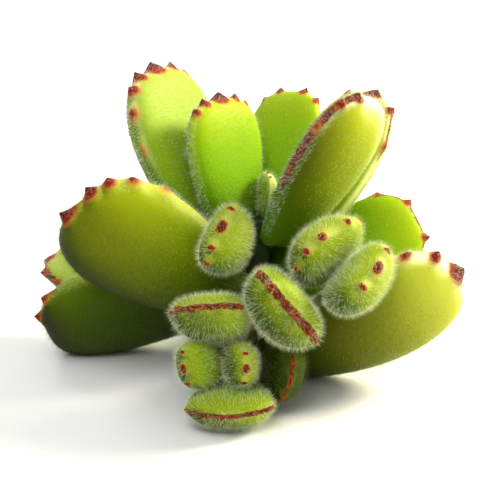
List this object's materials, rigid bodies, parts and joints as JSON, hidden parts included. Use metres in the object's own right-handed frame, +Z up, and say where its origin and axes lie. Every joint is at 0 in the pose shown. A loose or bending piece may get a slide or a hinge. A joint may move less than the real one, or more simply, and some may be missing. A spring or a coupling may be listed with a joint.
{
  "type": "bears paw succulent",
  "caption": "Cut succulent shoot cluster of thick obovate leaves with small teeth along their tips, resting on its own lower leaves.",
  "frame": {"origin": "centre of the footprint of the outline, on the surface it rests on", "axes": "+X towards the right-hand leaves, -Y towards the front side shoots, +Z up"},
  "size_m": [0.1036, 0.0878, 0.0721],
  "materials": {
    "leaf": "finely hairy, soft sheen",
    "stem": "dull bark, green on the young side stems"
  },
  "bodies": {
    "root": {"leaf_left": "leaf", "leaf_right_low": "leaf", "leaf_tall_left": "leaf", "leaf_inner_left": "leaf", "leaf_back_centre": "leaf", "leaf_inner_right": "leaf", "leaf_back_right": "leaf", "leaf_right_rear": "leaf", "leaf_left_floor": "leaf", "leaf_left_rear": "leaf", "rear_leaf_low": "leaf", "rear_leaf_left": "leaf", "rear_leaf_right": "leaf", "heart_leaf": "leaf", "front_shoot_top_leaf": "leaf", "front_shoot_floor_leaf": "leaf", "front_shoot_left_leaf": "leaf", "front_shoot_right_leaf": "leaf", "middle_shoot_upper_leaf": "leaf", "middle_shoot_lower_leaf": "leaf", "right_shoot_upper_leaf": "leaf", "right_shoot_lower_leaf": "leaf", "left_shoot_front_leaf": "leaf", "main_stem": "stem", "front_shoot_stem": "stem", "middle_shoot_stem": "stem", "right_shoot_stem": "stem", "left_shoot_stem": "stem"}
  },
  "joints": []
}
